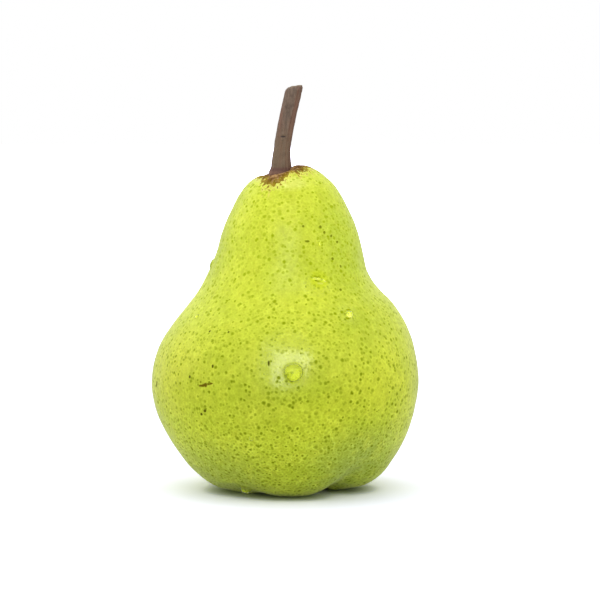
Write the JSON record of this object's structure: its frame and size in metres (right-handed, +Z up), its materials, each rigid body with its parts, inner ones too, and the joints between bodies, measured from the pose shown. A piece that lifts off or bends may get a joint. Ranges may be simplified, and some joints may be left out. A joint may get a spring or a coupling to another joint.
{
  "type": "pear",
  "caption": "Green dessert pear as picked, standing on its blossom end, with a leaning woody stem and a dry calyx underneath.",
  "frame": {"origin": "middle of the fruit's footprint box, on the surface that the fruit stands on", "axes": "+Z up along the fruit, from the blossom end to the stem; +X to the side with the fuller shoulder, which the stem leans towards; -Y to the front"},
  "size_m": [0.0696, 0.069, 0.1052],
  "materials": {
    "pear_skin": null,
    "stem_bark": "matte grey-brown bark, faintly ridged along its length, darker at the foot and the cut end",
    "dry_sepals": "matte dark brown, dry and papery"
  },
  "bodies": {
    "root": {"fruit": "pear_skin", "stem": "stem_bark", "calyx": "dry_sepals"}
  },
  "joints": []
}
